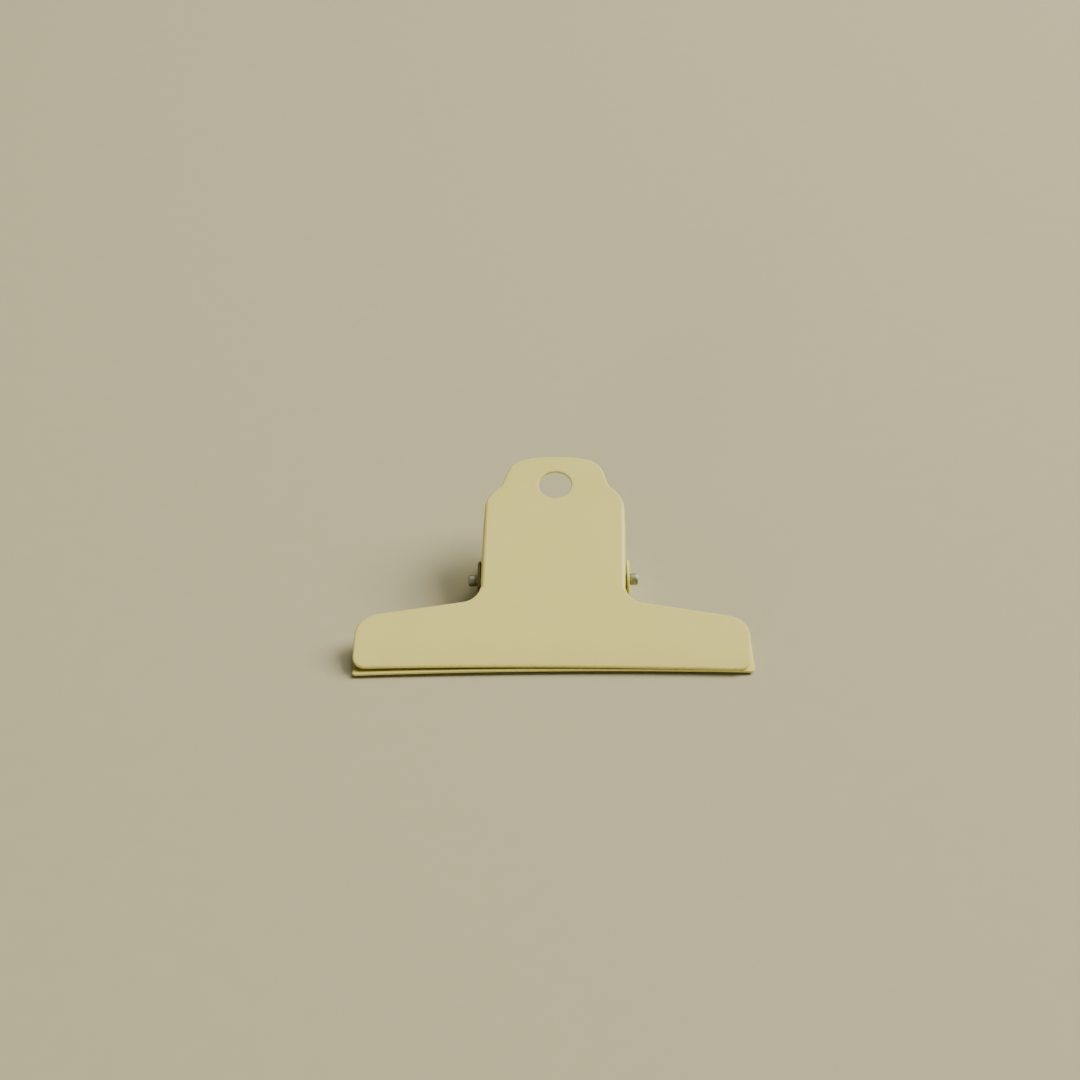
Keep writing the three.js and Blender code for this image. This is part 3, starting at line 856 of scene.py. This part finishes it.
class ShaderGraph:
    """The node tree of one material, around its Principled shader."""

    def __init__(self, name: str) -> None:
        """Makes an empty material of this name."""
        self.material = bpy.data.materials.new(name)
        self.material.use_nodes = True
        self.tree = self.material.node_tree
        self.tree.nodes.clear()
        self.shader = self.node("ShaderNodeBsdfPrincipled", {}, {})
        out = self.node("ShaderNodeOutputMaterial", {}, {})
        self.tree.links.new(self.shader.outputs[0], out.inputs["Surface"])

    def node(
        self, kind: str, settings: dict[str, Any], inputs: dict[Union[str, int], Any]
    ) -> bpy.types.Node:
        """Adds a node, sets it up and fills its sockets.

        Args:
            kind: The node's type.
            settings: Its properties, which are set first.
            inputs: A value, socket or Signal for each named or numbered input.

        Returns:
            The node.
        """
        made = self.tree.nodes.new(kind)
        for key, value in settings.items():
            setattr(made, key, value)
        self.fill(made, inputs)
        return made

    def fill(self, node: bpy.types.Node, inputs: dict[Union[str, int], Any]) -> None:
        """Links or sets a node's inputs.

        Args:
            node: The node.
            inputs: A value, socket or Signal for each named or numbered input.
        """
        for key, value in inputs.items():
            given = value.socket if isinstance(value, Signal) else value
            if isinstance(given, bpy.types.NodeSocket):
                self.tree.links.new(given, node.inputs[key])
            else:
                node.inputs[key].default_value = given

    def noise(self, size: float, detail: float, stretch: Triple = (1, 1, 1)) -> Signal:
        """Noise on the object's own coordinates.

        Args:
            size: Size of its grains, in millimetres.
            detail: How many finer layers it has.
            stretch: How much closer the grains lie along each axis.

        Returns:
            A value round 0.5.
        """
        at = self.node("ShaderNodeTexCoord", {}, {})
        scale = self.node("ShaderNodeMapping", {}, {"Vector": at.outputs["Object"], "Scale": stretch})
        inputs = {"Vector": scale.outputs["Vector"], "Scale": 1 / (size * MM), "Detail": detail}
        return Signal(self, self.node("ShaderNodeTexNoise", {}, inputs).outputs["Fac"])

    def attribute(self, name: str) -> Signal:
        """A number that the piece's mesh holds at each point."""
        node = self.node("ShaderNodeAttribute", {"attribute_name": name}, {})
        return Signal(self, node.outputs["Fac"])

    def mix(self, share: Signal, start: Any, end: Any) -> bpy.types.NodeSocket:
        """A colour between start and end."""
        node = self.node("ShaderNodeMix", {"data_type": "RGBA"}, {"Factor": share, 6: start, 7: end})
        return node.outputs[2]

    def bump(
        self, height: Signal, distance: float, strength: float, below: Any = None
    ) -> bpy.types.NodeSocket:
        """A normal disturbed by a height.

        Args:
            height: The height, from 0 to 1.
            distance: What a height of 1 is, in millimetres.
            strength: How strongly it acts.
            below: The normal of a coarser layer, if there is one.

        Returns:
            The normal.
        """
        inputs = {"Height": height, "Distance": distance * MM, "Strength": strength}
        if below is not None:
            inputs["Normal"] = below
        return self.node("ShaderNodeBump", {}, inputs).outputs["Normal"]

    def set(self, **values: Any) -> None:
        """Fills the Principled shader's inputs, named with underscores for spaces."""
        self.fill(self.shader, {name.replace("_", " "): value for name, value in values.items()})


def colour(red: int, green: int, blue: int) -> Colour:
    """A linear colour from display values between 0 and 255."""
    linear = []
    for value in (red, green, blue):
        share = value / 255
        linear.append(share / 12.92 if share <= 0.04045 else ((share + 0.055) / 1.055) ** 2.4)
    return (linear[0], linear[1], linear[2], 1.0)


@dataclass(frozen=True)
class PaintFinish:
    """Satin stove enamel: a faint orange peel, thinner along the edges, with painted shade round the rim
    of one ear.
    """

    shade: Colour = colour(212, 201, 109)
    deeper: Colour = colour(210, 198, 106)
    cloud_size: float = 22.0
    clouds: tuple[float, float] = (0.35, 0.68)
    thin: Colour = colour(186, 164, 78)
    wear_size: float = 1.6
    wear_patches: tuple[float, float] = (0.42, 0.72)
    wear: float = 0.35
    # The colour of the painted shade on the left ear's rim, and how strongly it is mixed in.
    ear_shadow_colour: Colour = colour(62, 56, 30)
    painted_ear_shade: float = 0.9
    peel_size: float = 1.5
    peel_height: float = 0.02
    peel_strength: float = 0.22
    grain_size: float = 0.28
    grain_height: float = 0.004
    grain_strength: float = 0.25
    roughness: float = 0.52
    roughness_spread: float = 0.12
    roughness_size: float = 7.0
    specular: float = 0.2
    coat: float = 0.02
    coat_roughness: float = 0.3

    def material(self) -> bpy.types.Material:
        """Builds the enamel."""
        graph = ShaderGraph("clip_enamel")
        cloudy = graph.noise(self.cloud_size, detail=3).above(*self.clouds)
        patches = graph.noise(self.wear_size, detail=3).above(*self.wear_patches)
        worn = graph.attribute("edge") * patches * self.wear
        # Painted shade on the left ear's rim, mixed into the enamel's colour.
        painted_ear_shade = graph.attribute("painted_ear_shade") * self.painted_ear_shade
        painted = graph.mix(worn, graph.mix(cloudy, self.shade, self.deeper), self.thin)
        peel = graph.bump(graph.noise(self.peel_size, detail=1.5), self.peel_height, self.peel_strength)
        grain = graph.noise(self.grain_size, detail=2)
        dull = graph.noise(self.roughness_size, detail=3) * self.roughness_spread
        graph.set(
            Base_Color=graph.mix(painted_ear_shade, painted, self.ear_shadow_colour),
            Roughness=dull + (self.roughness - self.roughness_spread / 2),
            Specular_IOR_Level=self.specular,
            Coat_Weight=self.coat,
            Coat_Roughness=self.coat_roughness,
            Normal=graph.bump(grain, self.grain_height, self.grain_strength, peel),
        )
        return graph.material


@dataclass(frozen=True)
class SteelFinish:
    """Bare steel: its stains, the marks that working it left, and its dullness."""

    name: str
    shade: Colour
    stained: Colour
    stain_size: float
    stain_patches: tuple[float, float]
    stain_share: float
    mark_size: float
    mark_detail: float
    mark_stretch: Triple
    mark_height: float
    mark_strength: float
    roughness: float
    roughness_spread: float
    roughness_size: float

    def material(self) -> bpy.types.Material:
        """Builds the steel."""
        graph = ShaderGraph(self.name)
        stains = graph.noise(self.stain_size, detail=4).above(*self.stain_patches) * self.stain_share
        marks = graph.noise(self.mark_size, self.mark_detail, self.mark_stretch)
        dull = graph.noise(self.roughness_size, detail=3) * self.roughness_spread
        graph.set(
            Base_Color=graph.mix(stains, self.shade, self.stained),
            Metallic=1.0,
            Roughness=dull + self.roughness,
            Normal=graph.bump(marks, self.mark_height, self.mark_strength),
        )
        return graph.material


# The pin: dull, with faint rings from the lathe.
TURNED_STEEL = SteelFinish(
    name="pin_steel_turned",
    shade=colour(166, 168, 146),
    stained=colour(118, 112, 84),
    stain_size=1.1,
    stain_patches=(0.5, 0.75),
    stain_share=0.6,
    mark_size=1.0,
    mark_detail=3,
    mark_stretch=(9, 0.4, 0.4),
    mark_height=0.012,
    mark_strength=0.35,
    roughness=0.5,
    roughness_spread=0.2,
    roughness_size=0.6,
)

# The spring: drawn wire, darker and smoother than the pin, and faintly stained.
SPRING_WIRE = SteelFinish(
    name="spring_wire_drawn",
    shade=colour(150, 148, 140),
    stained=colour(104, 94, 78),
    stain_size=2.4,
    stain_patches=(0.45, 0.75),
    stain_share=1.0,
    mark_size=0.22,
    mark_detail=2,
    mark_stretch=(1, 1, 1),
    mark_height=0.006,
    mark_strength=0.3,
    roughness=0.24,
    roughness_spread=0.22,
    roughness_size=0.9,
)


@dataclass(frozen=True)
class FloorFinish:
    """The plain matt floor."""

    shade: Colour = colour(166, 160, 125)
    paler: float = 1.015
    tone_size: float = 9.0
    tones: tuple[float, float] = (0.3, 0.7)
    roughness: float = 0.9
    specular: float = 0.2

    def material(self) -> bpy.types.Material:
        """Builds the floor's finish."""
        graph = ShaderGraph("floor_matt")
        tone = graph.noise(self.tone_size, detail=4).above(*self.tones)
        paler = tuple(min(1.0, part * self.paler) for part in self.shade)
        graph.set(
            Base_Color=graph.mix(tone, self.shade, paler),
            Roughness=self.roughness,
            Specular_IOR_Level=self.specular,
        )
        return graph.material


@dataclass(frozen=True)
class Softbox:
    """A square light that faces the clip, with its distance and size in metres."""

    name: str
    direction: Triple
    distance: float
    size: float
    power: float


@dataclass
class Studio:
    """The floor, the lights and the camera at the photograph's viewing angle."""

    floor_half: float = 3.0
    floor_drop: float = 0.02
    elevation: float = math.radians(35.433)
    turn: float = math.radians(1.826)
    roll: float = math.radians(-1.645)
    distance: float = 636.78
    aim: Triple = (-4.93, 23.247, 8.0)
    lens: float = 61.919
    sensor: float = 36.0
    clip_range: tuple[float, float] = (0.01, 20.0)
    softboxes: tuple[Softbox, ...] = (
        Softbox("key", (0.72, 0.29, 0.63), distance=6.0, size=3.4, power=750.0),
        Softbox("top", (0.25, 0.25, 0.94), distance=3.0, size=2.2, power=54.0),
        Softbox("fill", (-0.35, -0.93, 0.13), distance=3.0, size=0.5, power=36.0),
    )
    light_colour: Triple = (1.0, 0.985, 0.95)
    sky: float = 0.05
    sky_colour: Colour = (1.0, 0.99, 0.965, 1.0)

    def camera(self) -> None:
        """Makes the camera and sets it as the scene's own."""
        cos, sin = math.cos(self.elevation), math.sin(self.elevation)
        right = Vector((math.cos(self.turn), math.sin(self.turn), 0))
        forward = Vector((-math.sin(self.turn) * cos, math.cos(self.turn) * cos, -sin))
        up = right.cross(forward)
        level = Matrix((right, up, -forward)).transposed()
        tilt = Matrix.Rotation(-self.roll, 3, forward)
        data = bpy.data.cameras.new("camera")
        data.lens = self.lens
        data.sensor_width = self.sensor
        data.clip_start, data.clip_end = self.clip_range
        camera = bpy.data.objects.new("camera", data)
        bpy.context.scene.collection.objects.link(camera)
        camera.matrix_world = (tilt @ level).to_4x4()
        camera.location = (Vector(self.aim) - forward * self.distance) * MM
        bpy.context.scene.camera = camera

    def lights(self) -> None:
        """Makes a broad light from the right, one overhead, a small low one in front and a dim sky."""
        for box in self.softboxes:
            data = bpy.data.lights.new(box.name, "AREA")
            data.shape = "SQUARE"
            data.size = box.size
            data.energy = box.power
            data.color = self.light_colour
            light = bpy.data.objects.new(box.name, data)
            away = Vector(box.direction).normalized()
            light.location = away * box.distance
            light.rotation_euler = away.to_track_quat("Z", "Y").to_euler()
            bpy.context.scene.collection.objects.link(light)
        world = bpy.data.worlds.new("studio")
        world.use_nodes = True
        background = world.node_tree.nodes["Background"]
        background.inputs["Color"].default_value = self.sky_colour
        background.inputs["Strength"].default_value = self.sky
        bpy.context.scene.world = world

    def floor(self) -> None:
        """Makes the floor that the clip lies on."""
        half = self.floor_half / MM
        corners = np.array([(-half, -half), (half, -half), (half, half), (-half, half)])
        points = np.hstack([corners, np.full((4, 1), -self.floor_drop)])
        floor = make_object("floor", points, [[0, 1, 2, 3]])
        floor.data.materials.append(FloorFinish().material())


def mount(piece: bpy.types.Object, body: str, node: str, finish: bpy.types.Material) -> None:
    """Puts a finished piece in the place of its CAD node.

    Args:
        piece: The finished piece.
        body: The CAD body it moves with.
        node: The CAD node it stands for.
        finish: Its material.
    """
    piece.data.materials.clear()
    piece.data.materials.append(finish)
    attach(piece, body)
    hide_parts(node)
    LOG.info("%s rides on %s: %d faces", piece.name, body, len(piece.data.polygons))


def main() -> None:
    """Builds the studio and every piece of the clip."""
    logging.basicConfig(level=logging.INFO, format="%(message)s")
    studio = Studio()
    studio.camera()
    studio.lights()
    studio.floor()
    enamel = PaintFinish().material()
    mount(StampedPlate(Side.BACK).build(), "back", "back_plate", enamel)
    front = StampedPlate(Side.FRONT)
    mount(front.build(), "front", "front_plate", enamel)
    mount(HingePin().build(), "back", "hinge_pin", TURNED_STEEL.material())
    coil = TorsionSpring(front)
    spring = coil.build(SPRING_WIRE.material())
    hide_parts("torsion_spring")
    reach = (coil.half_coil - coil.wire_radius) * MM
    -reach
    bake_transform(spring)
    LOG.info("%s bends between back and front", spring.name)


if __name__ == "__main__":
    main()
